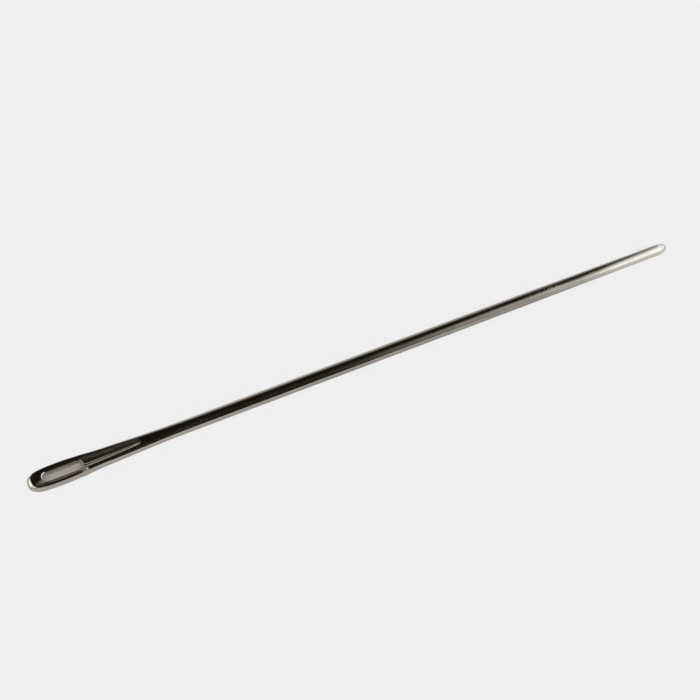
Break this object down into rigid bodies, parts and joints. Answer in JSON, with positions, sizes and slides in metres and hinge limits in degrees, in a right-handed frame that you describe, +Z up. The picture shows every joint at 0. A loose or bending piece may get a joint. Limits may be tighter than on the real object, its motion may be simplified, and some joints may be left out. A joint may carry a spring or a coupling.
{
  "type": "blunt large-eyed needle",
  "caption": "Straight steel needle with a long oval eye in a flattened head, a shallow gutter leading into the neck, a plain round shank and a blunt rounded point.",
  "frame": {"origin": "under the middle of the needle, on the plane it lies on", "axes": "+X from the eye towards the point, +Z up through the eye, +Y across the head"},
  "size_m": [0.127, 0.0042, 0.0024],
  "materials": {
    "plated_steel": "polished"
  },
  "bodies": {
    "root": {"eye_end": "plated_steel", "shank": "plated_steel"}
  },
  "joints": []
}
